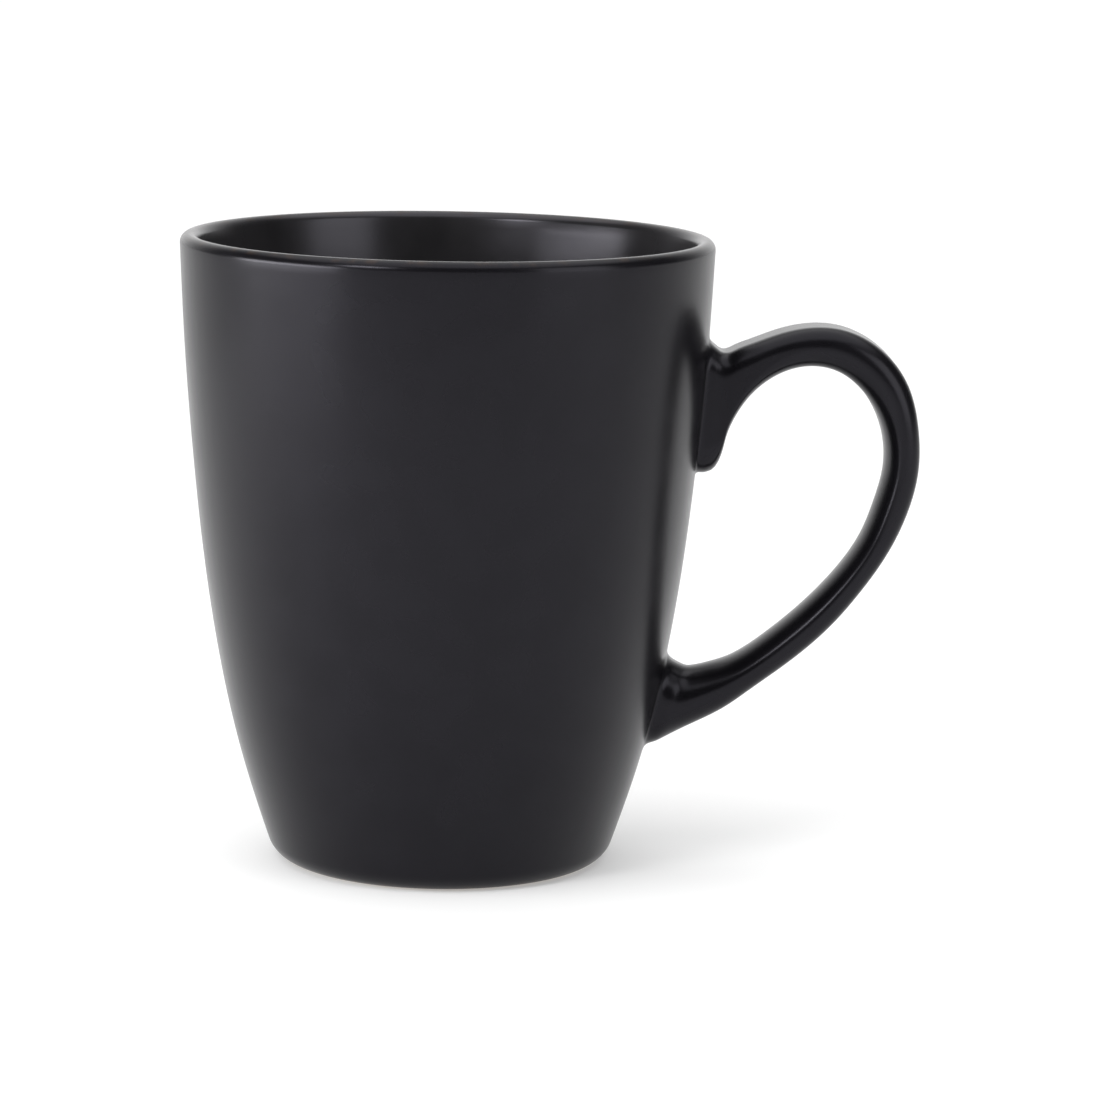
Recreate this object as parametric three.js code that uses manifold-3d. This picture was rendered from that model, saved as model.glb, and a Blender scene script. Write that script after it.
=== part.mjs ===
// Tapered stoneware mug with a looped strap handle.
//
// The mug is a turned clay cup, a cast clay handle stuck on with two pads of slip, and three
// coats of glaze: one over the outside and the lip, one lining the cup, one under the base.
// Millimetres, +Z up, the handle towards +X, the foot standing on z = 0.
// The origin is under the middle of the whole mug, between the far side of the cup and the
// outermost point of the handle.

import * as THREE from 'three';
import { mergeVertices } from 'three/addons/utils/BufferGeometryUtils.js';
import { ParametricGeometry } from 'three/addons/geometries/ParametricGeometry.js';
import Module from 'manifold-3d';

// ---------------------------------------------------------------- driving dimensions

const HEIGHT = 102;
const RIM_RADIUS = 43;
const LIP_RADIUS = 1.5; // the lip is a full round

const COAT = 0.4; // thickness of every glaze coat
const COAT_GAP = 0.1; // space kept between a coat and the clay under it
const JOINT_GAP = 0.3; // space kept where one solid is cut by its neighbour
const CLAY_INSET = COAT + COAT_GAP; // from the glazed surface down to the clay

// Outside of the cup: a rounded heel, then a wall that bows outwards up to the lip.
const OUTSIDE = {
  heelCentre: [23.98, 4.5],
  heelRadius: 4.5,
  heelLean: 0.33, // radians that the wall leans out where it leaves the heel
  wall: [[32.61, 16.74], [36.45, 33.48], [39.05, 50.22], [40.84, 66.95], [42.17, 83.69]],
  top: [RIM_RADIUS, HEIGHT - LIP_RADIUS],
};

// Inside of the cup: a flat floor, a wide round corner and a wall that thins towards the lip.
const INSIDE = {
  heelCentre: [17.8, 16.5],
  heelRadius: 9,
  heelLean: 0.33,
  wall: [[27.4, 16.74], [31.5, 33.48], [34.4, 50.22], [36.4, 66.95], [37.95, 83.69], [39.05, 94]],
  top: [RIM_RADIUS - 2 * LIP_RADIUS, HEIGHT - LIP_RADIUS],
};

const FOOT_RING_INNER = 21.4;
const FOOT_RING_OUTER = 24;
const FOOT_RECESS = 1.6; // height of the glazed base above the table
const RECESS_FLARE = 0.6; // the recess narrows upwards by this much
const GLAZE_LINE_ANGLE = 0.4; // radians up the heel at which the outside coat stops

// Stations along the handle, from the upper root to the lower one. Each gives the point on
// the outer edge and the point on the inner edge as [distance from the cup's axis, height],
// then the width across and how far in from the strap's sides the outer face and the inner
// face are rounded.
const HANDLE_STATIONS = [
  { outer: [40, 85.6], inner: [39, 63.8], width: 12.8, corners: [3.8, 4.6] },
  { outer: [42.2, 85.3], inner: [41, 64.1], width: 12.8, corners: [3.8, 4.6] },
  { outer: [43.5, 84.7], inner: [42.3, 64.4], width: 12.8, corners: [3.8, 4.6] },
  { outer: [44.2, 84.15], inner: [43.2, 64.8], width: 12.6, corners: [3.7, 4.4] },
  { outer: [45, 83.95], inner: [44.1, 66.1], width: 12.5, corners: [3.6, 4] },
  { outer: [46.7, 84.6], inner: [45.1, 69.7], width: 12.5, corners: [3.5, 3.6] },
  { outer: [49.2, 85.6], inner: [46.8, 73.9], width: 12.5, corners: [3.5, 3.4] },
  { outer: [51.8, 86.6], inner: [49.1, 77.2], width: 12.5, corners: [3.4, 3.3] },
  { outer: [57.9, 88.2], inner: [56, 81.6], width: 12.5, corners: [3.2, 3.2] },
  { outer: [64.4, 87.8], inner: [62.3, 81.5], width: 12.5, corners: [3.2, 3.2] },
  { outer: [70.2, 84.7], inner: [66.4, 78.9], width: 12.5, corners: [3.4, 3.6] },
  { outer: [74.5, 79.2], inner: [69.2, 75.2], width: 12.4, corners: [3.2, 4.4] },
  { outer: [76.4, 72.2], inner: [70.9, 70.6], width: 12.2, corners: [2.8, 5.4] },
  { outer: [76.6, 65], inner: [71.2, 65.2], width: 12, corners: [2.6, 5.8] },
  { outer: [75, 58.1], inner: [69.9, 59.7], width: 11.8, corners: [2.6, 5.8] },
  { outer: [72, 51.5], inner: [67.7, 53.9], width: 11.6, corners: [2.4, 5.8] },
  { outer: [67.9, 45.3], inner: [63.9, 48.2], width: 11.5, corners: [2.4, 5.75] },
  { outer: [62.8, 39.1], inner: [58.9, 42.8], width: 11.5, corners: [2.6, 5.75] },
  { outer: [56.6, 33.5], inner: [53.3, 37.9], width: 11.5, corners: [2.7, 5.75] },
  { outer: [49.6, 28.2], inner: [46.7, 33.5], width: 11.8, corners: [3, 5.9] },
  { outer: [46.2, 25.7], inner: [44.3, 32.7], width: 11.9, corners: [3.3, 5.9] },
  { outer: [43.2, 23.95], inner: [42.4, 32.2], width: 12, corners: [3.7, 6] },
  { outer: [40.2, 22.4], inner: [40.9, 31.9], width: 12.2, corners: [4.2, 6] },
  { outer: [37.6, 21], inner: [39.8, 31.9], width: 12.4, corners: [4.7, 6] },
  { outer: [35.6, 19.9], inner: [39, 32.2], width: 12.8, corners: [5, 6] },
  { outer: [33.4, 18.7], inner: [37.2, 32.8], width: 12.8, corners: [5, 6] },
  { outer: [31.2, 17.6], inner: [35.2, 33.4], width: 12.8, corners: [5, 6] },
];
const SLIP_THICKNESS = 1.5;

// ---------------------------------------------------------------- fineness

const TURN_SEGMENTS = 40;
const HEEL_STEPS = 3;
const WALL_STEPS = 8;
const LIP_STEPS = 6;
const STEPS_PER_STATION = 2;
const RING_POINTS = 16;

// ---------------------------------------------------------------- turned profiles

function pointOnArc(centre, radius, angle) {
  return new THREE.Vector2(
    centre[0] + radius * Math.cos(angle),
    centre[1] + radius * Math.sin(angle),
  );
}

function arc(centre, radius, from, to, steps) {
  const points = [];
  for (let i = 0; i <= steps; i++) {
    points.push(pointOnArc(centre, radius, from + ((to - from) * i) / steps));
  }
  return points;
}

// Where the wall of a side of the cup begins, at the top of its heel.
function heelTop(side) {
  return pointOnArc(side.heelCentre, side.heelRadius, -side.heelLean);
}

// The heel and the wall of one side of the cup, moved away from the cup's axis by offset.
function sideProfile(side, offset, heelStart = -Math.PI / 2) {
  const heelRadius = side.heelRadius + offset;
  const heel = arc(side.heelCentre, heelRadius, heelStart, -side.heelLean, HEEL_STEPS);
  const stations = [heelTop(side)];
  for (const [radius, height] of [...side.wall, side.top]) {
    stations.push(new THREE.Vector2(radius, height));
  }
  const curve = new THREE.SplineCurve(stations);
  const wall = [];
  for (let i = 1; i < WALL_STEPS; i++) {
    const point = curve.getPoint(i / WALL_STEPS);
    const along = curve.getTangent(i / WALL_STEPS);
    wall.push(new THREE.Vector2(point.x + along.y * offset, point.y - along.x * offset));
  }
  return [...heel, ...wall];
}

function lipArc(offset, from, to) {
  const centre = [RIM_RADIUS - LIP_RADIUS, HEIGHT - LIP_RADIUS];
  const steps = Math.ceil((LIP_STEPS * (to - from)) / Math.PI);
  return arc(centre, LIP_RADIUS + offset, from, to, steps);
}

function turned(profile) {
  const geometry = new THREE.LatheGeometry(profile, TURN_SEGMENTS);
  geometry.rotateX(Math.PI / 2);
  return geometry;
}

// The cup as one plug with no hollow, for cutting the handle and the coats to its surface.
function cupPlug(offset) {
  return turned([
    new THREE.Vector2(0, -offset),
    ...sideProfile(OUTSIDE, offset),
    ...lipArc(offset, 0, Math.PI / 2),
    new THREE.Vector2(0, HEIGHT + offset),
  ]);
}

function cupBody() {
  const footing = [
    new THREE.Vector2(0, FOOT_RECESS + CLAY_INSET),
    new THREE.Vector2(FOOT_RING_INNER - RECESS_FLARE, FOOT_RECESS + CLAY_INSET),
    new THREE.Vector2(FOOT_RING_INNER, 0),
    new THREE.Vector2(FOOT_RING_OUTER, 0),
  ];
  return turned([
    ...footing,
    ...sideProfile(OUTSIDE, -CLAY_INSET, GLAZE_LINE_ANGLE - Math.PI / 2),
    ...lipArc(-CLAY_INSET, 0, Math.PI),
    ...sideProfile(INSIDE, CLAY_INSET).reverse(),
    new THREE.Vector2(0, floorHeight() - CLAY_INSET),
  ]);
}

function floorHeight() {
  return INSIDE.heelCentre[1] - INSIDE.heelRadius;
}

function linerGlaze() {
  const seam = new THREE.Vector2(0, JOINT_GAP);
  const lipInside = (offset) => pointOnArc(INSIDE.top, offset, 0).sub(seam);
  return turned([
    new THREE.Vector2(0, floorHeight() - COAT),
    ...sideProfile(INSIDE, COAT),
    lipInside(COAT),
    lipInside(0),
    ...sideProfile(INSIDE, 0).reverse(),
    new THREE.Vector2(0, floorHeight()),
  ]);
}

function baseGlaze() {
  const radius = FOOT_RING_INNER - RECESS_FLARE - JOINT_GAP;
  return turned([
    new THREE.Vector2(0, FOOT_RECESS),
    new THREE.Vector2(radius, FOOT_RECESS),
    new THREE.Vector2(radius, FOOT_RECESS + COAT),
    new THREE.Vector2(0, FOOT_RECESS + COAT),
  ]);
}

// The outside coat where it covers the cup: from just above the foot, over the lip.
function outsideCoat() {
  const start = GLAZE_LINE_ANGLE - Math.PI / 2;
  const outer = [...sideProfile(OUTSIDE, 0, start), ...lipArc(0, 0, Math.PI)];
  const inner = [...sideProfile(OUTSIDE, -COAT, start), ...lipArc(-COAT, 0, Math.PI)];
  return turned([...outer, ...inner.reverse(), outer[0].clone()]);
}

// ---------------------------------------------------------------- handle

// The outline of the strap at one station, grown on every side by offset. It runs from the
// middle of the outer face round to the middle of the inner face and back.
function strapRing(station, offset) {
  const middle = station.outer.clone().add(station.inner).multiplyScalar(0.5);
  const across = station.outer.clone().sub(station.inner);
  const halfThickness = across.length() / 2 + offset;
  const halfWidth = station.width / 2 + offset;
  across.normalize();
  const ring = [];
  for (let i = 0; i < RING_POINTS; i++) {
    const angle = (2 * Math.PI * i) / RING_POINTS;
    const outwards = Math.sign(RING_POINTS - 4 * Math.min(i, RING_POINTS - i));
    const sideways = i === 0 ? 0 : Math.sign(2 * i - RING_POINTS);
    const rounding = station.corners[outwards > 0 ? 0 : 1] + offset;
    const corner = Math.min(rounding, halfWidth);
    const depth = Math.min(rounding, halfThickness);
    const a = outwards * (halfThickness - depth) + depth * Math.cos(angle);
    const b = sideways * (halfWidth - corner) - corner * Math.sin(angle);
    ring.push(new THREE.Vector3(middle.x + across.x * a, b, middle.y + across.y * a));
  }
  return ring;
}

// Every station of the handle and the ones between, read off smooth curves.
function strapStations() {
  const flat = ([x, y]) => new THREE.Vector2(x, y);
  const outer = new THREE.SplineCurve(HANDLE_STATIONS.map((s) => flat(s.outer)));
  const inner = new THREE.SplineCurve(HANDLE_STATIONS.map((s) => flat(s.inner)));
  const width = new THREE.SplineCurve(HANDLE_STATIONS.map((s) => flat([s.width, 0])));
  const corners = new THREE.SplineCurve(HANDLE_STATIONS.map((s) => flat(s.corners)));
  const steps = (HANDLE_STATIONS.length - 1) * STEPS_PER_STATION;
  const stations = [];
  for (let i = 0; i <= steps; i++) {
    const t = i / steps;
    stations.push({
      outer: outer.getPoint(t),
      inner: inner.getPoint(t),
      width: width.getPoint(t).x,
      corners: corners.getPoint(t).toArray(),
    });
  }
  return stations;
}

// The whole handle, its ends buried in the cup's wall, grown on every side by offset.
function handleLoft(offset) {
  const rings = strapStations().map((station) => strapRing(station, offset));
  const middleOf = (ring) => {
    const sum = ring.reduce((total, point) => total.add(point), new THREE.Vector3());
    return sum.divideScalar(ring.length);
  };
  const first = Array(RING_POINTS).fill(middleOf(rings[0]));
  const last = Array(RING_POINTS).fill(middleOf(rings.at(-1)));
  const rows = [first, ...rings, last];
  const place = (u, v, target) => {
    const row = rows[Math.round(v * (rows.length - 1))];
    target.copy(row[Math.round(u * RING_POINTS) % RING_POINTS]);
  };
  return new ParametricGeometry(place, RING_POINTS, rows.length - 1);
}

// ---------------------------------------------------------------- solids

const wasm = await Module();
wasm.setup();

// A boolean solid from a closed geometry: shared corners merged, triangles of no width dropped.
function solidOf(geometry) {
  const bare = geometry.clone();
  for (const name of Object.keys(bare.attributes)) {
    if (name !== 'position') {
      bare.deleteAttribute(name);
    }
  }
  const merged = mergeVertices(bare, 1e-4);
  const index = merged.index.array;
  const triangles = [];
  for (let i = 0; i < index.length; i += 3) {
    const [a, b, c] = index.subarray(i, i + 3);
    if (a !== b && b !== c && c !== a) {
      triangles.push(a, b, c);
    }
  }
  const mesh = new wasm.Mesh({
    numProp: 3,
    vertProperties: new Float32Array(merged.attributes.position.array),
    triVerts: new Uint32Array(triangles),
  });
  return new wasm.Manifold(mesh);
}

function geometryOf(solid) {
  const mesh = solid.getMesh();
  const geometry = new THREE.BufferGeometry();
  geometry.setAttribute('position', new THREE.BufferAttribute(mesh.vertProperties, 3));
  geometry.setIndex(new THREE.BufferAttribute(mesh.triVerts, 1));
  return geometry;
}

// The outside coat joins the cup's coat to the handle's, hollowed out for the clay of both.
function outerGlaze() {
  const handleCoat = solidOf(handleLoft(0)).subtract(solidOf(cupPlug(-COAT)));
  return solidOf(outsideCoat()).add(handleCoat).subtract(solidOf(handleLoft(-COAT)));
}

function handleClay() {
  const seat = solidOf(cupPlug(2 * JOINT_GAP + SLIP_THICKNESS - CLAY_INSET));
  return solidOf(handleLoft(-CLAY_INSET)).subtract(seat);
}

// The two pads of slip between the handle's ends and the cup, the upper one first.
function slipPads() {
  const nearSide = solidOf(cupPlug(JOINT_GAP + SLIP_THICKNESS - CLAY_INSET));
  const farSide = solidOf(cupPlug(JOINT_GAP - CLAY_INSET));
  const pads = solidOf(handleLoft(-CLAY_INSET)).intersect(nearSide).subtract(farSide);
  const height = (pad) => pad.boundingBox().max[2];
  return pads.decompose().sort((a, b) => height(b) - height(a));
}

// ---------------------------------------------------------------- the mug

const GLAZE = { color: 0x2b2a2f, roughness: 0.42, metalness: 0 };
const CLAY = { color: 0xb9aa97, roughness: 0.85, metalness: 0 };
const SLIP = { color: 0xc9bdab, roughness: 0.9, metalness: 0 };

function piece(name, geometry, look) {
  const mesh = new THREE.Mesh(geometry, new THREE.MeshStandardMaterial(look));
  mesh.name = name;
  return mesh;
}

function buildMug() {
  const mug = new THREE.Group();
  const [upperSlip, lowerSlip] = slipPads();
  mug.add(
    piece('cup_body', cupBody(), CLAY),
    piece('handle', geometryOf(handleClay()), CLAY),
    piece('upper_slip_joint', geometryOf(upperSlip), SLIP),
    piece('lower_slip_joint', geometryOf(lowerSlip), SLIP),
    piece('outer_glaze', geometryOf(outerGlaze()), GLAZE),
    piece('liner_glaze', linerGlaze(), GLAZE),
    piece('base_glaze', baseGlaze(), GLAZE),
  );
  const bounds = new THREE.Box3().setFromObject(mug);
  mug.position.x = -(bounds.min.x + bounds.max.x) / 2;
  return mug;
}

export default buildMug();
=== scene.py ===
"""The satin black stoneware mug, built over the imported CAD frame.

The glaze coats, the clay cup and the base disc are fine meshes that stand for their CAD nodes.
The handle's clay and the two slip joints stay as CAD nodes, hidden under the glaze.
Shape constants are in design millimetres; MM turns them into the frame's metres.
"""

import math

import bmesh
import bpy
import numpy as np
from mathutils import Matrix, Vector


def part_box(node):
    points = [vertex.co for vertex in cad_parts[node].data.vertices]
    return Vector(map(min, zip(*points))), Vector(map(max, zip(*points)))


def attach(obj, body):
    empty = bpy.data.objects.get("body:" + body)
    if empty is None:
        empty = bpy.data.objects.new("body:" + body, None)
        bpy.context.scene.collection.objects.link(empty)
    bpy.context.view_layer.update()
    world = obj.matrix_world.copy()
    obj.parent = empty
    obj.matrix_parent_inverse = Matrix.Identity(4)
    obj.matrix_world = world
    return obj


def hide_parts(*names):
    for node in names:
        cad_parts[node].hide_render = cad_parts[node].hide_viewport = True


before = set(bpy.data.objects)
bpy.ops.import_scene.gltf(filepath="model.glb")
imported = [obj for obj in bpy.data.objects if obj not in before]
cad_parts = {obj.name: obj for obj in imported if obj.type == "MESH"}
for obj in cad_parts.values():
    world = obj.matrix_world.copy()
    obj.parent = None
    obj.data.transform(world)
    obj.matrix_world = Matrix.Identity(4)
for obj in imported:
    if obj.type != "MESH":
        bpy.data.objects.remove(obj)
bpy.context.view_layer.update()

# ------------------------------------------------------------------ the frame's own sizes

DESIGN_HEIGHT = 102.0
DESIGN_RIM_RADIUS = 43.0
COAT_LOW, COAT_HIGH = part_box("outer_glaze")
MM = COAT_HIGH[2] / DESIGN_HEIGHT
AXIS_X = COAT_LOW[0] / MM + DESIGN_RIM_RADIUS  # the cup's axis, from the frame's origin

# ------------------------------------------------------------------ the shape of the mug

LIP_RADIUS = 1.5
HEEL_RADIUS = 4.5
COAT = 0.4
COAT_GAP = 0.1  # space kept between a coat and the clay under it
CLAY_INSET = COAT + COAT_GAP
CLAY_RIM_DROP = 0.5  # how far below the lip's middle the clay's inside wall ends
# (height, radius) of the outside wall and of the inside wall
OUTSIDE_WALL = [
    (0.0, 27.19),
    (16.74, 32.61),
    (33.48, 36.45),
    (50.22, 39.05),
    (66.95, 40.84),
    (83.69, 42.17),
    (100.4, 43.0),
]
INSIDE_WALL = [
    (13.58, 26.31),
    (16.74, 27.4),
    (33.48, 31.5),
    (50.22, 34.4),
    (66.95, 36.4),
    (83.69, 37.95),
    (94.0, 39.05),
    (100.4, 40.0),
]
FLOOR_HEIGHT = 7.5
FLOOR_CORNER_RADIUS = 9.0
FOOT_RING_INNER = 21.4
FOOT_RING_OUTER = 24.0
FOOT_RECESS = 1.6
# The foot ring's two rounded edges, as (distance outwards from that edge, height).
FOOT_INNER_EDGE = [(-0.3, 0.5), (-0.1, 0.15), (0.2, 0.0)]
FOOT_OUTER_EDGE = [(-0.35, 0.0), (-0.1, 0.08), (0.0, 0.3)]
RECESS_FLARE = 0.9  # how far inside the foot ring's inner edge the recess is at full depth
BASE_COAT_INSET = 1.0  # how far inside that edge the coat under the base ends
BASE_COAT_ROUNDING = 0.1  # how much of its round edge reaches past that
GLAZE_LINE = 0.4 - math.pi / 2  # angle round the heel at which the outside coat stops
SEAM_DEPTH = 2.2  # how far below the lip's middle the two coats meet, inside the cup

# The handle, from the upper root to the lower one: the outer edge and the inner edge as
# (distance from the cup's axis, height), the width, and how far in from the strap's sides
# the outer face and the inner face are rounded.
HANDLE_STATIONS = [
    ((43.5, 84.7), (42.3, 64.4), 12.8, (3.8, 4.6)),
    ((44.2, 84.15), (43.2, 64.8), 12.6, (3.7, 4.4)),
    ((45.0, 83.95), (44.1, 66.1), 12.5, (3.6, 4.0)),
    ((46.7, 84.6), (45.1, 69.7), 12.5, (3.5, 3.6)),
    ((49.2, 85.6), (46.8, 73.9), 12.5, (3.5, 3.4)),
    ((51.8, 86.6), (49.1, 77.2), 12.5, (3.4, 3.3)),
    ((57.9, 88.2), (56.0, 81.6), 12.5, (3.2, 3.2)),
    ((64.4, 87.8), (62.3, 81.5), 12.5, (3.2, 3.2)),
    ((70.2, 84.7), (66.4, 78.9), 12.5, (3.4, 3.6)),
    ((74.5, 79.2), (69.2, 75.2), 12.4, (3.2, 4.4)),
    ((76.4, 72.2), (70.9, 70.6), 12.2, (2.8, 5.4)),
    ((76.6, 65.0), (71.2, 65.2), 12.0, (2.6, 5.8)),
    ((75.0, 58.1), (69.9, 59.7), 11.8, (2.6, 5.8)),
    ((72.0, 51.5), (67.7, 53.9), 11.6, (2.4, 5.8)),
    ((67.9, 45.3), (63.9, 48.2), 11.5, (2.4, 5.75)),
    ((62.8, 39.1), (58.9, 42.8), 11.5, (2.6, 5.75)),
    ((56.6, 33.5), (53.3, 37.9), 11.5, (2.7, 5.75)),
    ((49.6, 28.2), (46.7, 33.5), 11.8, (3.0, 5.9)),
    ((46.2, 25.7), (44.3, 32.7), 11.9, (3.3, 5.9)),
    ((43.2, 23.95), (42.4, 32.2), 12.0, (3.7, 6.0)),
    ((40.2, 22.4), (40.9, 31.9), 12.2, (4.2, 6.0)),
    ((37.6, 21.0), (39.8, 31.9), 12.4, (4.7, 6.0)),
    ((35.6, 19.9), (39.0, 32.2), 12.8, (5.0, 6.0)),
]
# How far each root's fillet spreads over the cup: above, beside and below the root.
UPPER_FILLET = (2.6, 1.1, 0.7)
LOWER_FILLET = (3.4, 1.1, 2.0)

# ------------------------------------------------------------------ how fine the meshes are

COLUMNS = 192
ROOT_COLUMNS = 22  # cells across each root's window in the cup's grid
ROOT_ROWS = 27
HEEL_ROWS = 8
LIP_ROWS = 16
PATCH_LOOPS = 6
FILLET_LOOPS = 9
STRAP_RINGS = 170
OUTLINE_STEPS = 360  # points on a strap outline before it is spaced out evenly
WALL_STEPS = 60  # rows on the clay's outside wall, and on each inside wall
FLOOR_CORNER_STEPS = 24
FLOOR_STEPS = 10
BASE_STEPS = 12
BASE_EDGE_STEPS = 6
CORNER_PASSES = 30  # passes that settle where a wall meets a round corner
TOUCH_STEP = 0.05  # how far from its foot a fillet's direction on the wall is taken
FILLET_PULL = 0.5  # how far a fillet keeps its end directions, as a share of its length
SHARP_ANGLE = math.radians(50)
# Breaks in the outside wall's rows, as (height at the end, rows up to it).
WALL_ROWS = [(10.5, 7), (42.0, ROOT_ROWS), (56.0, 10), (94.0, ROOT_ROWS), (None, 5)]
LOWER_WINDOW, UPPER_WINDOW = 1, 3  # which of those stretches hold the two roots


# ------------------------------------------------------------------ curves


def natural_spline(knots, values):
    """A function giving the smooth curve through the values, and its slope, at any knot value."""
    x = np.array(knots, float)
    y = np.array(values, float)
    gap = np.diff(x)
    slope = np.diff(y) / gap
    size = len(x)
    matrix = np.eye(size)
    right = np.zeros(size)
    for i in range(1, size - 1):
        matrix[i, i - 1 : i + 2] = gap[i - 1], 2 * (gap[i - 1] + gap[i]), gap[i]
        right[i] = 6 * (slope[i] - slope[i - 1])
    bend = np.linalg.solve(matrix, right)

    def curve(at):
        i = int(np.clip(np.searchsorted(x, at) - 1, 0, size - 2))
        step = at - x[i]
        first = slope[i] - gap[i] * (2 * bend[i] + bend[i + 1]) / 6
        third = (bend[i + 1] - bend[i]) / (6 * gap[i])
        value = y[i] + step * (first + step * (bend[i] / 2 + step * third))
        return value, first + step * (bend[i] + 3 * step * third)

    return curve


def wall_curve(wall):
    return natural_spline([height for height, _ in wall], [radius for _, radius in wall])


outside_radius = wall_curve(OUTSIDE_WALL)
inside_radius = wall_curve(INSIDE_WALL)


def wall_normal(curve, height):
    """The unit vector (outwards, upwards) at right angles to a wall that faces outwards."""
    slope = curve(height)[1]
    length = math.hypot(1.0, slope)
    return 1.0 / length, -slope / length


def arc(centre, radius, start, end, steps):
    angles = [start + (end - start) * i / steps for i in range(steps + 1)]
    return [(centre[0] + radius * math.cos(a), centre[1] + radius * math.sin(a)) for a in angles]


def corner_start(curve, radius, base):
    """The height at which a wall leaves the round corner of that radius standing on base."""
    height = base + radius
    for _ in range(CORNER_PASSES):
        height = base + radius * (1 + wall_normal(curve, height)[1])
    return height


# ------------------------------------------------------------------ turned profiles


HEEL_TOP = corner_start(outside_radius, HEEL_RADIUS, 0.0)
WALL_TOP = OUTSIDE_WALL[-1][0]
INSIDE_TOP = INSIDE_WALL[-1][0] - SEAM_DEPTH
LIP_CENTRE = (DESIGN_RIM_RADIUS - LIP_RADIUS, DESIGN_HEIGHT - LIP_RADIUS)


def heel_arc(offset):
    """The round heel, from the line where the outside coat stops up to the wall."""
    out, up = wall_normal(outside_radius, HEEL_TOP)
    radius = outside_radius(HEEL_TOP)[0]
    centre = (radius - HEEL_RADIUS * out, HEEL_TOP - HEEL_RADIUS * up)
    return arc(centre, HEEL_RADIUS + offset, GLAZE_LINE, math.atan2(up, out), HEEL_ROWS)


def wall_point(curve, height, offset):
    out, up = wall_normal(curve, height)
    return curve(height)[0] + offset * out, height + offset * up


def wall_heights():
    """The heights of the outside wall's rows, and the number of the row that ends each stretch."""
    heights, ends, low = [HEEL_TOP], [0], HEEL_TOP
    for high, count in WALL_ROWS:
        high = WALL_TOP if high is None else high
        heights += [low + (high - low) * i / count for i in range(1, count + 1)]
        ends.append(len(heights) - 1)
        low = high
    return heights, ends


def lip_arc(offset):
    """The round lip, from the outside wall over to the inside wall."""
    out, up = wall_normal(outside_radius, WALL_TOP)
    in_out, in_up = wall_normal(inside_radius, INSIDE_WALL[-1][0])
    end = math.atan2(-in_up, -in_out) % (2 * math.pi)
    return arc(LIP_CENTRE, LIP_RADIUS + offset, math.atan2(up, out), end, LIP_ROWS)


# ------------------------------------------------------------------ mesh building


class Mesh:
    """Vertices in design millimetres and the faces between them."""

    def __init__(self):
        self.vertices = []
        self.faces = []

    def add(self, points):
        start = len(self.vertices)
        self.vertices.extend(points)
        return list(range(start, len(self.vertices)))

    def stitch(self, first, second):
        """Quads between two closed rows of vertices of the same length."""
        count = len(first)
        for i in range(count):
            j = (i + 1) % count
            self.faces.append((first[i], first[j], second[j], second[i]))

    def fan(self, row, tip):
        for i in range(len(row)):
            self.faces.append((row[i], row[(i + 1) % len(row)], tip))

    def build(self, name, thickness=0.0):
        """The piece itself. With a thickness, the surface becomes a closed coat of it, inwards."""
        work = bmesh.new()
        points = [work.verts.new(Vector(v) * MM) for v in self.vertices]
        for face in self.faces:
            work.faces.new([points[i] for i in face])
        bmesh.ops.recalc_face_normals(work, faces=work.faces)
        if thickness:
            bmesh.ops.solidify(work, geom=work.faces[:], thickness=thickness * MM)
        data = bpy.data.meshes.new(name)
        work.to_mesh(data)
        work.free()
        data.shade_smooth()
        data.set_sharp_from_angle(angle=SHARP_ANGLE)
        piece = bpy.data.objects.new(name, data)
        bpy.context.scene.collection.objects.link(piece)
        return piece


def around(radius, height, angle):
    return (AXIS_X + radius * math.cos(angle), radius * math.sin(angle), height)


def column_angle(column):
    return 2 * math.pi * column / COLUMNS


def turned_row(mesh, radius, height):
    return mesh.add([around(radius, height, column_angle(i)) for i in range(COLUMNS)])


def turned_shell(name, profile):
    """A closed solid turned from a profile that starts and ends on the axis."""
    mesh = Mesh()
    rows = [turned_row(mesh, radius, height) for radius, height in profile[1:-1]]
    for lower, upper in zip(rows, rows[1:]):
        mesh.stitch(lower, upper)
    for row, (_, height) in ((rows[0], profile[0]), (rows[-1], profile[-1])):
        tip = mesh.add([(AXIS_X, 0.0, height)])[0]
        mesh.fan(row, tip)
    return mesh.build(name)


# ------------------------------------------------------------------ the handle's surface


def station_curves():
    """The strap's length along its middle line, and its measures as curves over that length."""
    tracks = [
        [*outer, *inner, width, *corners] for outer, inner, width, corners in HANDLE_STATIONS
    ]
    places = [0.0]
    for one, two in zip(tracks, tracks[1:]):
        step = math.hypot(two[0] + two[2] - one[0] - one[2], two[1] + two[3] - one[1] - one[3])
        places.append(places[-1] + step / 2)
    return places[-1], [natural_spline(places, track) for track in zip(*tracks)]


STRAP_LENGTH, STATION_CURVES = station_curves()


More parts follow.
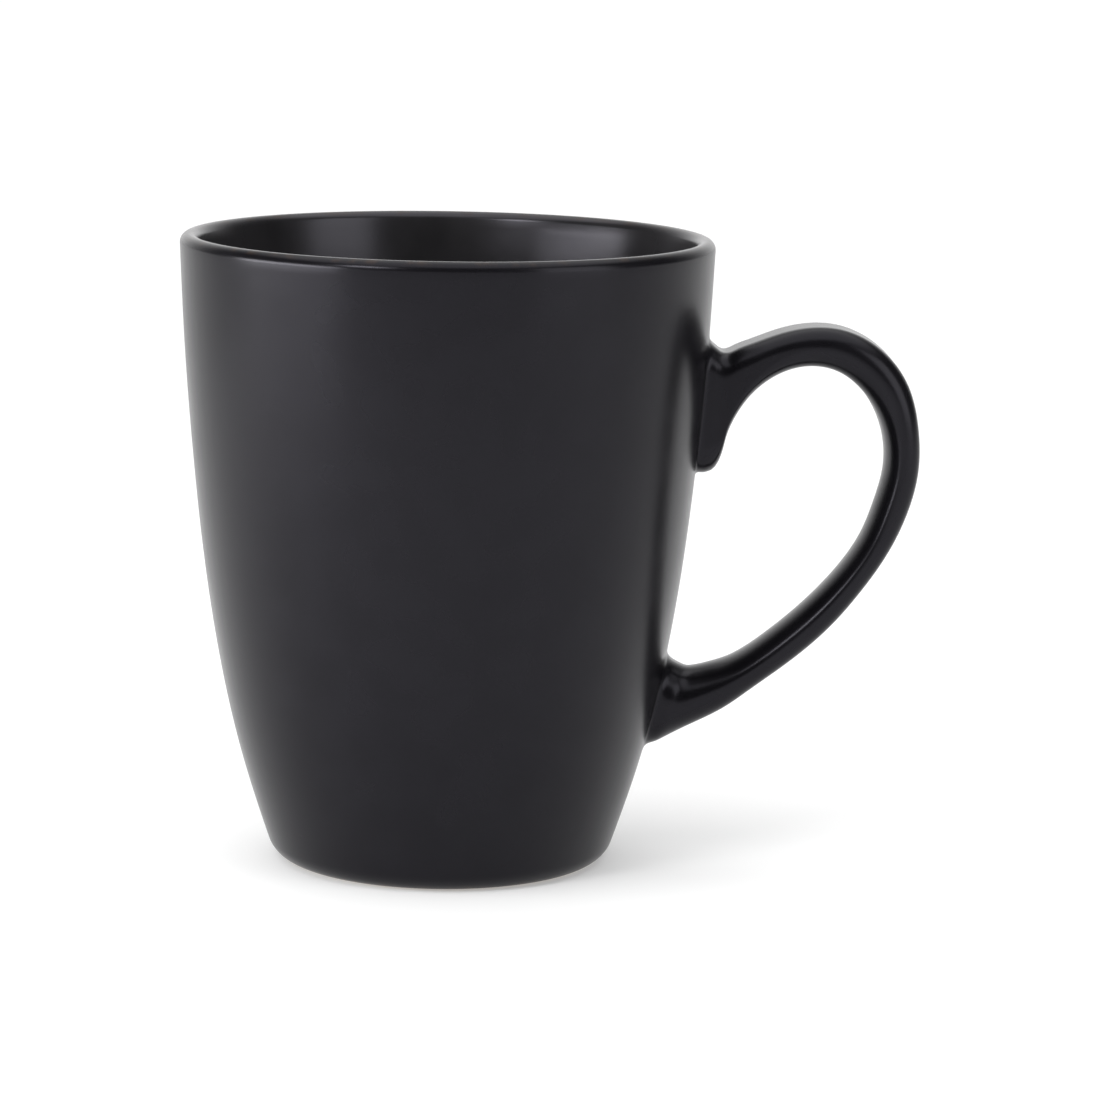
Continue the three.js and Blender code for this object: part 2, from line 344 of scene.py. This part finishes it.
def strap_ring(at):
    """The strap's D-shaped outline at a distance along it, as evenly spaced points. The middle
    of its outer face comes after half of the ROOT_COLUMNS cells."""
    measures = [curve(at)[0] for curve in STATION_CURVES]
    outer_x, outer_z, inner_x, inner_z, width, outer_corner, inner_corner = measures
    middle = Vector((AXIS_X + (outer_x + inner_x) / 2, 0, (outer_z + inner_z) / 2))
    across = Vector((outer_x - inner_x, 0, outer_z - inner_z)).normalized()
    half_thickness = math.hypot(outer_x - inner_x, outer_z - inner_z) / 2
    half_width = width / 2

    turns = np.linspace(0, 2 * math.pi, OUTLINE_STEPS + 1)
    sines = np.sin(turns).round(9)
    cosines = np.cos(turns).round(9)
    corners = np.where(cosines > 0, outer_corner, inner_corner).clip(max=half_width)
    depths = corners.clip(max=half_thickness)
    sideways = np.sign(sines) * (half_width - corners) + corners * sines
    outwards = np.sign(cosines) * (half_thickness - depths) + depths * cosines
    passed = np.concatenate(([0.0], np.cumsum(np.hypot(np.diff(sideways), np.diff(outwards)))))
    cells = 2 * (ROOT_COLUMNS + ROOT_ROWS)
    wanted = (np.arange(cells) - ROOT_COLUMNS / 2) / cells % 1 * passed[-1]
    return [
        middle + Vector((0, y, 0)) + across * t
        for y, t in zip(np.interp(wanted, passed, sideways), np.interp(wanted, passed, outwards))
    ]


def root_fillet(ring, next_ring, spread):
    """Loops that carry a root's ring smoothly down on to the cup's wall, and the foot of the
    fillet as (angle, height) on the wall."""
    above, beside, below = spread
    count = len(ring)
    flat = []
    for point in ring:
        radius = outside_radius(point.z)[0]
        flat.append(Vector((math.asin(point.y / radius) * radius, point.z)))
    middle = sum(flat, Vector((0.0, 0.0))) / count
    feet, loops = [], [[] for _ in range(FILLET_LOOPS)]
    for i, point in enumerate(ring):
        run = flat[(i + 1) % count] - flat[i - 1]
        outwards = Vector((run.y, -run.x)).normalized()
        if outwards.dot(flat[i] - middle) < 0:
            outwards.negate()
        vertical = above if outwards.y > 0 else below
        reach = math.sqrt((beside * outwards.x) ** 2 + (vertical * outwards.y) ** 2)
        foot = flat[i] + outwards * reach
        radius = outside_radius(foot.y)[0]
        angle = foot.x / radius
        feet.append((angle, foot.y))
        base = Vector(around(radius, foot.y, angle))
        nearer = foot - outwards * TOUCH_STEP
        near_radius = outside_radius(nearer.y)[0]
        inwards = Vector(around(near_radius, nearer.y, nearer.x / near_radius)) - base
        inwards.normalize()
        arriving = (point - next_ring[i]).normalized()
        length = (point - base).length
        pull = FILLET_PULL * length
        a, b, c, d = base, base + inwards * pull, point + arriving * pull, point
        for k in range(FILLET_LOOPS):
            t = (k + 1) / (FILLET_LOOPS + 1)
            s = 1 - t
            loops[k].append(a * s**3 + b * 3 * s * s * t + c * 3 * s * t * t + d * t**3)
    return feet, loops


def window_loop(grid, rows, upper):
    """The cup's grid vertices round a root's window, in the order of the strap's ring, and the
    (row, column) of each."""
    half = ROOT_COLUMNS // 2
    low, high = rows
    left, right = -half, half
    start, end = (high, low) if upper else (low, high)
    step = -1 if upper else 1
    loop = [(start, c) for c in range(left, right)]
    loop += [(r, right) for r in range(start, end, step)]
    loop += [(end, c) for c in range(right, left, -1)]
    loop += [(r, left) for r in range(end, start, -step)]
    return [grid[r][c % COLUMNS] for r, c in loop], loop


def patch_loops(mesh, cells, heights, feet):
    """Loops over the cup's wall between a window's edge and the foot of the root's fillet."""
    rings = []
    for k in range(1, PATCH_LOOPS + 1):
        share = k / PATCH_LOOPS
        points = []
        for (row, column), (angle, height) in zip(cells, feet):
            at = heights[row] + (height - heights[row]) * share
            turn = column_angle(column) + (angle - column_angle(column)) * share
            points.append(around(outside_radius(at)[0], at, turn))
        rings.append(mesh.add(points))
    return rings


def columns_from_handle(column):
    """How many columns a column is from the one in line with the handle, negative on one side."""
    return (column + COLUMNS // 2) % COLUMNS - COLUMNS // 2


def cup_grid(mesh, heights, windows):
    """The cup's outside wall as rows of vertices with the faces between, open at the windows."""
    half = ROOT_COLUMNS // 2
    grid = []
    for row, height in enumerate(heights):
        radius = outside_radius(height)[0]
        line = []
        for column in range(COLUMNS):
            level = any(low < row < high for low, high in windows)
            if level and -half < columns_from_handle(column) < half:
                line.append(None)
            else:
                line += mesh.add([around(radius, height, column_angle(column))])
        grid.append(line)
    for row, (low_line, high_line) in enumerate(zip(grid, grid[1:])):
        level = any(low <= row < high for low, high in windows)
        for column in range(COLUMNS):
            if level and -half <= columns_from_handle(column) < half:
                continue
            beside = (column + 1) % COLUMNS
            corners = low_line[column], low_line[beside], high_line[beside], high_line[column]
            mesh.faces.append(corners)
    return grid


def root_loops(mesh, grid, heights, window, upper, rings, spread):
    """A root's loops, from the edge of its window in the cup's wall out to the strap's end."""
    edge, cells = window_loop(grid, window, upper)
    feet, fillet = root_fillet(*rings, spread)
    patch = patch_loops(mesh, cells, heights, feet)
    return [edge] + patch + [mesh.add(loop) for loop in fillet]


def glazed_outside():
    """The outside coat: over the heel, the wall, the lip, and the handle and its roots."""
    mesh = Mesh()
    heights, ends = wall_heights()
    lower = ends[LOWER_WINDOW : LOWER_WINDOW + 2]
    upper = ends[UPPER_WINDOW : UPPER_WINDOW + 2]
    grid = cup_grid(mesh, heights, (lower, upper))

    heel = [turned_row(mesh, r, z) for r, z in heel_arc(0.0)[:-1]]
    lip = [turned_row(mesh, r, z) for r, z in lip_arc(0.0)[1:]]
    for share in (0.5, 1.0):
        height = INSIDE_WALL[-1][0] - SEAM_DEPTH * share
        lip.append(turned_row(mesh, inside_radius(height)[0], height))
    for low_row, high_row in zip(heel, heel[1:] + [grid[0]]):
        mesh.stitch(low_row, high_row)
    for low_row, high_row in zip([grid[-1]] + lip, lip):
        mesh.stitch(low_row, high_row)

    rings = [strap_ring(STRAP_LENGTH * i / STRAP_RINGS) for i in range(STRAP_RINGS + 1)]
    tube = root_loops(mesh, grid, heights, upper, True, rings[:2], UPPER_FILLET)
    tube += [mesh.add(ring) for ring in rings]
    last = root_loops(mesh, grid, heights, lower, False, rings[:-3:-1], LOWER_FILLET)
    tube += last[::-1]
    for one, two in zip(tube, tube[1:]):
        mesh.stitch(one, two)
    return mesh.build("outer_glaze_skin", COAT)


def profile_rows(curve, offset, low, high):
    """Points on a wall, offset outwards, from a low height to a high one."""
    heights = [low + (high - low) * i / WALL_STEPS for i in range(WALL_STEPS + 1)]
    return [wall_point(curve, height, offset) for height in heights]


def floor_corner(offset):
    """The round corner between the floor and the inside wall, from the floor upwards."""
    height = corner_start(inside_radius, FLOOR_CORNER_RADIUS, FLOOR_HEIGHT)
    out, up = wall_normal(inside_radius, height)
    radius = inside_radius(height)[0]
    centre = (radius - FLOOR_CORNER_RADIUS * out, height - FLOOR_CORNER_RADIUS * up)
    start = -math.pi / 2
    end = math.atan2(up, out)
    return arc(centre, FLOOR_CORNER_RADIUS + offset, start, end, FLOOR_CORNER_STEPS), height


def inside_profile(offset, top):
    """The floor, its round corner and the inside wall up to a height, offset into the clay."""
    corner, height = floor_corner(offset)
    edge, level = corner[0]
    floor_points = [(edge * i / FLOOR_STEPS, level) for i in range(FLOOR_STEPS)]
    return floor_points + corner + profile_rows(inside_radius, offset, height, top)[1:]


def liner():
    upper_side = inside_profile(0.0, INSIDE_TOP)
    under_side = inside_profile(COAT, INSIDE_TOP)
    return turned_shell("liner_glaze_skin", upper_side + under_side[::-1])


def clay_cup():
    recess = FOOT_RECESS + CLAY_INSET
    foot = [(0.0, recess), (FOOT_RING_INNER - RECESS_FLARE, recess)]
    foot += [(FOOT_RING_INNER + outwards, height) for outwards, height in FOOT_INNER_EDGE]
    foot += [(FOOT_RING_OUTER + outwards, height) for outwards, height in FOOT_OUTER_EDGE]
    outside = heel_arc(-CLAY_INSET)
    outside += profile_rows(outside_radius, -CLAY_INSET, HEEL_TOP, WALL_TOP)[1:]
    outside += lip_arc(-CLAY_INSET)[1:]
    inside = inside_profile(CLAY_INSET, INSIDE_WALL[-1][0] - CLAY_RIM_DROP)
    return turned_shell("stoneware_cup", foot + outside + inside[::-1])


def base_coat():
    edge = FOOT_RING_INNER - BASE_COAT_INSET
    across = [edge * i / BASE_STEPS for i in range(BASE_STEPS)]
    rounding = COAT / 2
    centre = (edge - BASE_COAT_ROUNDING, FOOT_RECESS + rounding)
    under = [(radius, FOOT_RECESS) for radius in across]
    rim = arc(centre, rounding, -math.pi / 2, math.pi / 2, BASE_EDGE_STEPS)
    over = [(radius, FOOT_RECESS + COAT) for radius in across]
    return turned_shell("base_glaze_disc", under + rim + over[::-1])


# ------------------------------------------------------------------ materials

OUTSIDE_COLOURS = (0.0042, 0.0039, 0.0049), (0.0056, 0.0053, 0.0066)
# The lining's grey is lighter than the outside's black: painted fill light for the inside of the cup.
LINER_COLOURS_WITH_PAINTED_FILL = (0.016, 0.0154, 0.0164), (0.022, 0.021, 0.0225)
GLAZE_THIN = (0.022, 0.013, 0.008)
GLAZE_TINT = (0.9, 0.88, 1.0, 1.0)
GLAZE_ROUGHNESS = 0.25
GLAZE_IORS = (1.29, 1.4)  # of the outside and of the lining
NEAR_RIM = (90.0, 94.0)
# The lining's look carried over the lip includes its painted fill light.
LIP_TURN = (40.9, 42.2)  # radii over which the lining's look gives way to the outside's
GLOSS_SPREAD = (-0.01, 0.01)  # how the mottling changes the roughness
SMEAR_ROUGHNESS = 0.02  # what a handling smear adds to it
LIP_BREAK = (101.2, 101.9)  # heights over which the glaze has drawn thin on the lip
HEEL_BREAK = (0.5, 1.6)
# Levels of the noise between which each look comes in.
MOTTLE_LEVELS = (0.2, 0.8)
SMEAR_LEVELS = (0.45, 0.8)
THIN_LEVELS = (0.45, 0.7)
CLAY_LEVELS = (0.3, 0.7)
CLAY_ROUGHNESS = (0.8, 0.95)
SLIP_ROUGHNESS = (0.82, 0.94)
# Sizes of what the surfaces are roughened and mottled with, and depths, in millimetres.
MOTTLE_SIZE = 7.0
SMEAR_SIZE = 22.0
THIN_PATCH_SIZE = 2.2
PEEL_SIZE = 1.8
PEEL_DEPTH = 0.006
GRAIN_SIZE = 0.3
OUTSIDE_GRAIN = 0.0012
LINER_GRAIN = 0.006
PINHOLE_SPACING = 9.0
PINHOLE_EDGES = (0.01, 0.03)  # as shares of the spacing
PINHOLE_DEPTH = 0.03
GRIT_SIZE = 0.6
GRIT_DEPTH = 0.08
CLAY_PATCH_SIZE = 6.0
FRECKLE_SPACING = 1.6
FRECKLE_EDGES = (0.12, 0.2)  # as shares of the spacing
TABLE_STAIN_HEIGHTS = (0.02, 0.3)
TABLE_STAIN_SHARE = 0.55
STREAK_SIZE = 0.8
STREAK_STRETCH = (1.0, 0.2, 1.0)
STREAK_DEPTH = 0.12
CLAY_DARK = (0.40, 0.32, 0.24)
CLAY_LIGHT = (0.56, 0.47, 0.37)
CLAY_IRON = (0.12, 0.06, 0.035)
CLAY_STAIN = (0.20, 0.17, 0.14)
SLIP_DARK = (0.50, 0.43, 0.34)
SLIP_LIGHT = (0.66, 0.60, 0.50)


def node(tree, kind, **settings):
    made = tree.nodes.new(kind)
    for key, value in settings.items():
        setattr(made, key, value)
    return made


def ramp(tree, value, edges, results):
    """A soft step: the first result below the edges, the second one above them."""
    step = node(tree, "ShaderNodeMapRange", interpolation_type="SMOOTHSTEP")
    tree.links.new(value, step.inputs["Value"])
    for socket, number in zip(("From Min", "From Max", "To Min", "To Max"), (*edges, *results)):
        step.inputs[socket].default_value = number
    return step.outputs["Result"]


def millimetres(tree):
    """The object's own coordinates, in design millimetres."""
    scaled = node(tree, "ShaderNodeVectorMath", operation="SCALE")
    tree.links.new(node(tree, "ShaderNodeTexCoord").outputs["Object"], scaled.inputs[0])
    scaled.inputs["Scale"].default_value = 1 / MM
    return scaled.outputs[0]


def noise(tree, place, size, detail=2.0, roughness=0.5):
    """Smooth noise from 0 to 1, about 0.5, with blotches of that size in millimetres."""
    made = node(tree, "ShaderNodeTexNoise")
    tree.links.new(place, made.inputs["Vector"])
    made.inputs["Scale"].default_value = 1 / size
    made.inputs["Detail"].default_value = detail
    made.inputs["Roughness"].default_value = roughness
    return made.outputs["Fac"]


def specks(tree, place, spacing, edges):
    """Small round specks on a grid of cells that wide: 1 in a speck, 0 outside it."""
    cells = node(tree, "ShaderNodeTexVoronoi")
    tree.links.new(place, cells.inputs["Vector"])
    cells.inputs["Scale"].default_value = 1 / spacing
    return ramp(tree, cells.outputs["Distance"], edges, (1.0, 0.0))


def combine(tree, operation, first, second):
    """One number from two, either of them a socket or a plain number."""
    made = node(tree, "ShaderNodeMath", operation=operation)
    for socket, value in zip(made.inputs, (first, second)):
        if isinstance(value, (int, float)):
            socket.default_value = value
        else:
            tree.links.new(value, socket)
    return made.outputs[0]


def mix_colours(tree, share, first, second):
    """A colour between two, either of them a socket or plain linear numbers."""
    made = node(tree, "ShaderNodeMix", data_type="RGBA")
    tree.links.new(share, made.inputs["Factor"])
    for socket, colour in zip(made.inputs[6:8], (first, second)):
        if isinstance(colour, tuple):
            socket.default_value = (*colour, 1)
        else:
            tree.links.new(colour, socket)
    return made.outputs[2]


def bump(tree, height, depth, under=None):
    """A normal roughened by a height from 0 to 1 that stands for that depth in millimetres."""
    made = node(tree, "ShaderNodeBump")
    made.inputs["Distance"].default_value = depth * MM
    tree.links.new(height, made.inputs["Height"])
    if under:
        tree.links.new(under, made.inputs["Normal"])
    return made.outputs[0]


def new_material(name):
    material = bpy.data.materials.new(name)
    material.use_nodes = True
    tree = material.node_tree
    return material, tree, tree.nodes["Principled BSDF"]


def height_of(tree, place):
    split = node(tree, "ShaderNodeSeparateXYZ")
    tree.links.new(place, split.inputs[0])
    return split.outputs["Z"]


def inside_lip(tree, place):
    """1 on the inner side of the lip, 0 on the rest of the outside coat."""
    split = node(tree, "ShaderNodeSeparateXYZ")
    tree.links.new(place, split.inputs[0])
    from_axis = combine(tree, "SUBTRACT", split.outputs["X"], AXIS_X)
    squares = [combine(tree, "POWER", from_axis, 2.0), combine(tree, "POWER", split.outputs["Y"], 2.0)]
    radius = combine(tree, "SQRT", combine(tree, "ADD", *squares), 0.0)
    near_rim = ramp(tree, split.outputs["Z"], NEAR_RIM, (0.0, 1.0))
    return combine(tree, "MULTIPLY", near_rim, ramp(tree, radius, LIP_TURN, (1.0, 0.0)))


def glaze_material(name, lining):
    """Satin black glaze: softly mottled, with an orange-peel surface, fine grain, faint handling
    smears, pinholes, and a brown break where it has drawn thin over the lip and the heel.
    The lining is brighter in reflection and grainier; its lighter grey is painted fill light for
    the inside of the cup. That painted grey and its brightness roll over on to the inner side of the
    lip."""
    material, tree, shader = new_material(name)
    place = millimetres(tree)
    mottle = ramp(tree, noise(tree, place, MOTTLE_SIZE, roughness=0.4), MOTTLE_LEVELS, (0.0, 1.0))
    smears = noise(tree, place, SMEAR_SIZE, detail=3.0)
    pinholes = specks(tree, place, PINHOLE_SPACING, PINHOLE_EDGES)

    height = height_of(tree, place)
    on_lip = ramp(tree, height, LIP_BREAK, (0.0, 1.0))
    on_heel = ramp(tree, height, HEEL_BREAK, (1.0, 0.0))
    patches = noise(tree, place, THIN_PATCH_SIZE, detail=3.0)
    patchy = ramp(tree, patches, THIN_LEVELS, (0.0, 1.0))
    thin = combine(tree, "MULTIPLY", combine(tree, "MAXIMUM", on_lip, on_heel), patchy)
    # For the lining, this base colour is the lighter grey of painted fill light.
    deep = mix_colours(tree, mottle, *LINER_COLOURS_WITH_PAINTED_FILL)
    shader.inputs["IOR"].default_value = GLAZE_IORS[1] if lining else GLAZE_IORS[0]
    if not lining:
        # On the inner side of the lip, the outside coat takes the lining's IOR and its painted fill
        # light.
        lined = inside_lip(tree, place)
        deep = mix_colours(tree, lined, mix_colours(tree, mottle, *OUTSIDE_COLOURS), deep)
        tree.links.new(ramp(tree, lined, (0.0, 1.0), GLAZE_IORS), shader.inputs["IOR"])
    tree.links.new(mix_colours(tree, thin, deep, GLAZE_THIN), shader.inputs["Base Color"])

    gloss = combine(tree, "ADD", ramp(tree, mottle, (0.0, 1.0), GLOSS_SPREAD), GLAZE_ROUGHNESS)
    worn = ramp(tree, smears, SMEAR_LEVELS, (0.0, SMEAR_ROUGHNESS))
    tree.links.new(combine(tree, "ADD", gloss, worn), shader.inputs["Roughness"])
    shader.inputs["Specular Tint"].default_value = GLAZE_TINT

    peel = bump(tree, noise(tree, place, PEEL_SIZE), PEEL_DEPTH)
    grain = LINER_GRAIN if lining else OUTSIDE_GRAIN
    fine = bump(tree, noise(tree, place, GRAIN_SIZE), grain, peel)
    pits = bump(tree, combine(tree, "SUBTRACT", 1.0, pinholes), PINHOLE_DEPTH, fine)
    tree.links.new(pits, shader.inputs["Normal"])
    return material


def stoneware_material():
    """Bare fired clay: buff, gritty, freckled with iron, greyed where it has stood on tables."""
    material, tree, shader = new_material("stoneware_clay")
    place = millimetres(tree)
    grit = noise(tree, place, GRIT_SIZE, detail=5.0, roughness=0.65)
    patches = noise(tree, place, CLAY_PATCH_SIZE, detail=4.0)
    body = mix_colours(tree, patches, CLAY_DARK, CLAY_LIGHT)
    freckles = specks(tree, place, FRECKLE_SPACING, FRECKLE_EDGES)
    freckled = mix_colours(tree, freckles, body, CLAY_IRON)
    table = ramp(tree, height_of(tree, place), TABLE_STAIN_HEIGHTS, (TABLE_STAIN_SHARE, 0.0))
    tree.links.new(mix_colours(tree, table, freckled, CLAY_STAIN), shader.inputs["Base Color"])
    tree.links.new(ramp(tree, grit, CLAY_LEVELS, CLAY_ROUGHNESS), shader.inputs["Roughness"])
    tree.links.new(bump(tree, grit, GRIT_DEPTH), shader.inputs["Normal"])
    return material


def slip_material():
    """Fired slip: paler and finer than the clay, with the streaks of the brush that laid it."""
    material, tree, shader = new_material("fired_slip")
    place = millimetres(tree)
    stretched = node(tree, "ShaderNodeVectorMath", operation="MULTIPLY")
    tree.links.new(place, stretched.inputs[0])
    stretched.inputs[1].default_value = STREAK_STRETCH
    streaks = noise(tree, stretched.outputs[0], STREAK_SIZE, detail=3.0)
    tree.links.new(mix_colours(tree, streaks, SLIP_DARK, SLIP_LIGHT), shader.inputs["Base Color"])
    tree.links.new(ramp(tree, streaks, CLAY_LEVELS, SLIP_ROUGHNESS), shader.inputs["Roughness"])
    tree.links.new(bump(tree, streaks, STREAK_DEPTH), shader.inputs["Normal"])
    return material


def paint(piece, material):
    piece.data.materials.clear()
    piece.data.materials.append(material)


# ------------------------------------------------------------------ the pieces

outside = glaze_material("satin_black_glaze", False)
lining = glaze_material("satin_black_liner", True)
stoneware = stoneware_material()
slip = slip_material()

for build, replaced, slot_name, material in (
    (glazed_outside, "outer_glaze", "satin_glaze", outside),
    (liner, "liner_glaze", "satin_glaze", lining),
    (base_coat, "base_glaze", "satin_glaze", outside),
    (clay_cup, "cup_body", "stoneware", stoneware),
):
    piece = build()
    paint(piece, material)
    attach(piece, "root")
    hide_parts(replaced)
for name, material in (
    ("handle", stoneware),
    ("upper_slip_joint", slip),
    ("lower_slip_joint", slip),
):
    paint(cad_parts[name], material)

# ------------------------------------------------------------------ the studio

# Lengths are in metres and angles in radians, unless a comment says otherwise.
ROOM_LIGHT = 0.05
SWEEP_LIGHT = 1.5
CEILING_LIGHT = 1.9
SWEEP_EDGE = (0.4, 1.08)  # of the direction's share towards the back
CEILING_EDGE = (0.62, 0.85)  # of the direction's share upwards
FLOOR_HALF = 12.0
FLOOR_ALBEDO = 0.75
FLOOR_ROUGHNESS = 0.9
FLOOR_GLOW = 0.28
# Each softbox: its name, azimuth in degrees from the camera's side, distance from the cup's
# axis, width, lowest and highest point, and power in watts. The high one draws the line of
# light along the lower run of the handle.
SOFTBOXES = [
    ("left_softbox", -70, 0.5, 0.44, 0.06, 0.17, 2.3),
    ("high_left_softbox", -36, 0.47, 0.14, 0.27, 0.4, 0.9),
    ("right_softbox", 55, 0.6, 0.36, 0.06, 0.5, 1.3),
]
CAMERA_PLACE = Vector((AXIS_X, -664.18, 166.94)) * MM
CAMERA_YAW = 0.02598
CAMERA_PITCH = 0.17308
CAMERA_ROLL = 0.0181
CAMERA_LENS = 135.43  # in millimetres, as is the sensor's width
CAMERA_SENSOR = 36
CAMERA_CLIP_END = 20


def floor():
    half = FLOOR_HALF
    data = bpy.data.meshes.new("studio_floor")
    corners = [(-half, -half, 0), (half, -half, 0), (half, half, 0), (-half, half, 0)]
    data.from_pydata(corners, [], [(0, 1, 2, 3)])
    piece = bpy.data.objects.new("studio_floor", data)
    bpy.context.scene.collection.objects.link(piece)
    material = bpy.data.materials.new("pale_floor")
    material.use_nodes = True
    shader = material.node_tree.nodes["Principled BSDF"]
    shader.inputs["Base Color"].default_value = (FLOOR_ALBEDO,) * 3 + (1,)
    shader.inputs["Roughness"].default_value = FLOOR_ROUGHNESS
    shader.inputs["Emission Color"].default_value = (1, 1, 1, 1)
    shader.inputs["Emission Strength"].default_value = FLOOR_GLOW
    paint(piece, material)


def world_light():
    """A bright sweep behind the mug and a bright ceiling over it, in an otherwise dim room."""
    world = bpy.data.worlds.new("studio")
    world.use_nodes = True
    tree = world.node_tree
    split = node(tree, "ShaderNodeSeparateXYZ")
    tree.links.new(node(tree, "ShaderNodeTexCoord").outputs["Generated"], split.inputs[0])
    sweep = ramp(tree, split.outputs["Y"], SWEEP_EDGE, (ROOM_LIGHT, SWEEP_LIGHT))
    ceiling = ramp(tree, split.outputs["Z"], CEILING_EDGE, (ROOM_LIGHT, CEILING_LIGHT))
    background = tree.nodes["Background"]
    background.inputs["Color"].default_value = (1, 1, 1, 1)
    brightest = combine(tree, "MAXIMUM", sweep, ceiling)
    tree.links.new(brightest, background.inputs["Strength"])
    bpy.context.scene.world = world


def softbox(name, azimuth, distance, width, low, high, power):
    """A softbox standing at that azimuth from the camera's side, facing the cup's axis."""
    turn = math.radians(azimuth)
    data = bpy.data.lights.new(name, "AREA")
    data.shape = "RECTANGLE"
    data.size = width
    data.size_y = high - low
    data.energy = power
    light = bpy.data.objects.new(name, data)
    away = Vector((math.sin(turn), -math.cos(turn), 0)) * distance
    light.location = away + Vector((AXIS_X * MM, 0, (low + high) / 2))
    light.rotation_euler = away.to_track_quat("Z", "Y").to_euler()
    bpy.context.scene.collection.objects.link(light)


def camera():
    yaw, pitch = CAMERA_YAW, CAMERA_PITCH
    forward = Vector(
        (math.sin(yaw) * math.cos(pitch), math.cos(yaw) * math.cos(pitch), -math.sin(pitch))
    )
    level = Vector((math.cos(yaw), -math.sin(yaw), 0))
    upright = level.cross(forward)
    right = level * math.cos(CAMERA_ROLL) + upright * math.sin(CAMERA_ROLL)
    up = upright * math.cos(CAMERA_ROLL) - level * math.sin(CAMERA_ROLL)
    turn = Matrix((right, up, -forward)).transposed()
    data = bpy.data.cameras.new("camera")
    data.sensor_width = CAMERA_SENSOR
    data.lens = CAMERA_LENS
    data.clip_end = CAMERA_CLIP_END
    view = bpy.data.objects.new("camera", data)
    view.matrix_world = Matrix.Translation(CAMERA_PLACE) @ turn.to_4x4()
    bpy.context.scene.collection.objects.link(view)
    bpy.context.scene.camera = view


floor()
world_light()
for measures in SOFTBOXES:
    softbox(*measures)
camera()
bpy.context.scene.view_settings.view_transform = "Standard"
